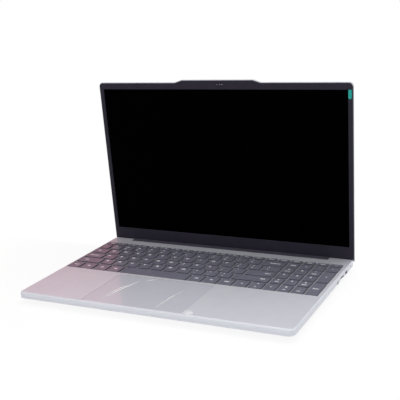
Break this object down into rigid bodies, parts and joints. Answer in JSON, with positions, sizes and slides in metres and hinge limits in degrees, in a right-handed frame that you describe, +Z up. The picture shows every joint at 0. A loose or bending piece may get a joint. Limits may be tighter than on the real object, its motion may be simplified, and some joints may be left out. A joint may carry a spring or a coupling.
{
  "type": "laptop computer",
  "caption": "Thin silver laptop computer with its lid open on a rear hinge bar, a dark framed screen, a sunken keyboard with number pad, and a wide touchpad.",
  "frame": {"origin": "centre of the footprint of the bounding box, on the table plane under the feet", "axes": "+X to the user's right along the hinge, +Y to the rear, +Z up"},
  "size_m": [0.3574, 0.2366, 0.2436],
  "materials": {
    "silver_case": "fine satin, silver",
    "silver_cover": "satin, silver",
    "key_plastic": "fine matte, dark grey",
    "bezel_plastic": "matte charcoal",
    "screen_glass": "glossy black",
    "touchpad_face": "smooth satin, silver",
    "rubber": "matte black",
    "steel": "plain steel",
    "port_steel": "bright steel",
    "black_plastic": "matte black",
    "circuit_board": "solder mask",
    "fin_aluminium": "bare",
    "copper": "bare copper",
    "tab_film": "thin film"
  },
  "bodies": {
    "base": {"audio_jack": "black_plastic", "battery_pack": "black_plastic", "bottom_cover": "silver_cover", "bottom_screws": "steel", "dc_inlet": "black_plastic", "fan_housing": "black_plastic", "hdmi_port": "port_steel", "heat_pipe": "copper", "heatsink_fins": "fin_aluminium", "hinge_brackets": "steel", "io_board": "circuit_board", "keyboard_frame": "silver_case", "keyboard_plate": "steel", "mainboard": "circuit_board", "memory_module": "circuit_board", "rubber_domes": "rubber", "rubber_feet": "rubber", "speakers": "black_plastic", "ssd_module": "circuit_board", "top_case": "silver_case", "touchpad_bracket": "steel", "usb_a_ports": "port_steel", "usb_c_port": "port_steel", "wifi_card": "circuit_board"},
    "lid": {"bezel": "bezel_plastic", "bezel_bumpers": "rubber", "camera_module": "screen_glass", "display_cable": "black_plastic", "film_pull_tab": "tab_film", "hinge_arms": "steel", "hinge_cover": "bezel_plastic", "lcd_panel": "screen_glass", "lid_cover": "silver_case"},
    "fan": {"fan_rotor": "black_plastic"},
    "touchpad": {"touchpad": "touchpad_face"},
    "escape_key": {"escape_key": "key_plastic"},
    "function_keys": {"function_keys": "key_plastic"},
    "power_key": {"power_key": "key_plastic"},
    "number_row_keys": {"number_row_keys": "key_plastic"},
    "backspace_key": {"backspace_key": "key_plastic"},
    "tab_key": {"tab_key": "key_plastic"},
    "upper_letter_keys": {"upper_letter_keys": "key_plastic"},
    "backslash_key": {"backslash_key": "key_plastic"},
    "caps_lock_key": {"caps_lock_key": "key_plastic"},
    "home_letter_keys": {"home_letter_keys": "key_plastic"},
    "enter_key": {"enter_key": "key_plastic"},
    "left_shift_key": {"left_shift_key": "key_plastic"},
    "lower_letter_keys": {"lower_letter_keys": "key_plastic"},
    "right_shift_key": {"right_shift_key": "key_plastic"},
    "left_modifier_keys": {"left_modifier_keys": "key_plastic"},
    "space_bar": {"space_bar": "key_plastic"},
    "right_modifier_keys": {"right_modifier_keys": "key_plastic"},
    "arrow_side_keys": {"arrow_side_keys": "key_plastic"},
    "arrow_up_key": {"arrow_up_key": "key_plastic"},
    "arrow_down_key": {"arrow_down_key": "key_plastic"},
    "numpad_top_keys": {"numpad_top_keys": "key_plastic"},
    "numpad_digit_keys": {"numpad_digit_keys": "key_plastic"},
    "numpad_zero_keys": {"numpad_zero_keys": "key_plastic"},
    "numpad_plus_key": {"numpad_plus_key": "key_plastic"},
    "numpad_enter_key": {"numpad_enter_key": "key_plastic"}
  },
  "joints": [
    {"name": "lid_hinge", "type": "hinge", "parent": "base", "child": "lid", "pos_m": [0, 0.1091, 0.011], "axis": [-1, 0, 0], "range_deg": [-88.1, 46.9]},
    {"name": "fan_spin", "type": "hinge", "parent": "base", "child": "fan", "pos_m": [-0.084, 0.0517, 0.0067], "axis": [0, 0, 1], "continuous": true},
    {"name": "touchpad_click", "type": "hinge", "parent": "base", "child": "touchpad", "pos_m": [0, -0.0261, 0.01245], "axis": [1, 0, 0], "range_deg": [0, 0.38], "stiffness_Nm_per_rad": 20},
    {"name": "escape_key_press", "type": "slide", "parent": "base", "child": "escape_key", "axis": [0, 0, 1], "range_m": [-0.0012, 0], "stiffness_N_per_m": 400},
    {"name": "function_keys_press", "type": "slide", "parent": "base", "child": "function_keys", "axis": [0, 0, 1], "range_m": [-0.0012, 0], "stiffness_N_per_m": 7200},
    {"name": "power_key_press", "type": "slide", "parent": "base", "child": "power_key", "axis": [0, 0, 1], "range_m": [-0.0012, 0], "stiffness_N_per_m": 400},
    {"name": "number_row_keys_press", "type": "slide", "parent": "base", "child": "number_row_keys", "axis": [0, 0, 1], "range_m": [-0.0012, 0], "stiffness_N_per_m": 5200},
    {"name": "backspace_key_press", "type": "slide", "parent": "base", "child": "backspace_key", "axis": [0, 0, 1], "range_m": [-0.0012, 0], "stiffness_N_per_m": 400},
    {"name": "tab_key_press", "type": "slide", "parent": "base", "child": "tab_key", "axis": [0, 0, 1], "range_m": [-0.0012, 0], "stiffness_N_per_m": 400},
    {"name": "upper_letter_keys_press", "type": "slide", "parent": "base", "child": "upper_letter_keys", "axis": [0, 0, 1], "range_m": [-0.0012, 0], "stiffness_N_per_m": 4800},
    {"name": "backslash_key_press", "type": "slide", "parent": "base", "child": "backslash_key", "axis": [0, 0, 1], "range_m": [-0.0012, 0], "stiffness_N_per_m": 400},
    {"name": "caps_lock_key_press", "type": "slide", "parent": "base", "child": "caps_lock_key", "axis": [0, 0, 1], "range_m": [-0.0012, 0], "stiffness_N_per_m": 400},
    {"name": "home_letter_keys_press", "type": "slide", "parent": "base", "child": "home_letter_keys", "axis": [0, 0, 1], "range_m": [-0.0012, 0], "stiffness_N_per_m": 4400},
    {"name": "enter_key_press", "type": "slide", "parent": "base", "child": "enter_key", "axis": [0, 0, 1], "range_m": [-0.0012, 0], "stiffness_N_per_m": 400},
    {"name": "left_shift_key_press", "type": "slide", "parent": "base", "child": "left_shift_key", "axis": [0, 0, 1], "range_m": [-0.0012, 0], "stiffness_N_per_m": 400},
    {"name": "lower_letter_keys_press", "type": "slide", "parent": "base", "child": "lower_letter_keys", "axis": [0, 0, 1], "range_m": [-0.0012, 0], "stiffness_N_per_m": 4000},
    {"name": "right_shift_key_press", "type": "slide", "parent": "base", "child": "right_shift_key", "axis": [0, 0, 1], "range_m": [-0.0012, 0], "stiffness_N_per_m": 400},
    {"name": "left_modifier_keys_press", "type": "slide", "parent": "base", "child": "left_modifier_keys", "axis": [0, 0, 1], "range_m": [-0.0012, 0], "stiffness_N_per_m": 1600},
    {"name": "space_bar_press", "type": "slide", "parent": "base", "child": "space_bar", "axis": [0, 0, 1], "range_m": [-0.0012, 0], "stiffness_N_per_m": 400},
    {"name": "right_modifier_keys_press", "type": "slide", "parent": "base", "child": "right_modifier_keys", "axis": [0, 0, 1], "range_m": [-0.0012, 0], "stiffness_N_per_m": 1200},
    {"name": "arrow_side_keys_press", "type": "slide", "parent": "base", "child": "arrow_side_keys", "axis": [0, 0, 1], "range_m": [-0.0012, 0], "stiffness_N_per_m": 800},
    {"name": "arrow_up_key_press", "type": "slide", "parent": "base", "child": "arrow_up_key", "axis": [0, 0, 1], "range_m": [-0.0012, 0], "stiffness_N_per_m": 400},
    {"name": "arrow_down_key_press", "type": "slide", "parent": "base", "child": "arrow_down_key", "axis": [0, 0, 1], "range_m": [-0.0012, 0], "stiffness_N_per_m": 400},
    {"name": "numpad_top_keys_press", "type": "slide", "parent": "base", "child": "numpad_top_keys", "axis": [0, 0, 1], "range_m": [-0.0012, 0], "stiffness_N_per_m": 1600},
    {"name": "numpad_digit_keys_press", "type": "slide", "parent": "base", "child": "numpad_digit_keys", "axis": [0, 0, 1], "range_m": [-0.0012, 0], "stiffness_N_per_m": 3600},
    {"name": "numpad_zero_keys_press", "type": "slide", "parent": "base", "child": "numpad_zero_keys", "axis": [0, 0, 1], "range_m": [-0.0012, 0], "stiffness_N_per_m": 800},
    {"name": "numpad_plus_key_press", "type": "slide", "parent": "base", "child": "numpad_plus_key", "axis": [0, 0, 1], "range_m": [-0.0012, 0], "stiffness_N_per_m": 400},
    {"name": "numpad_enter_key_press", "type": "slide", "parent": "base", "child": "numpad_enter_key", "axis": [0, 0, 1], "range_m": [-0.0012, 0], "stiffness_N_per_m": 400}
  ]
}
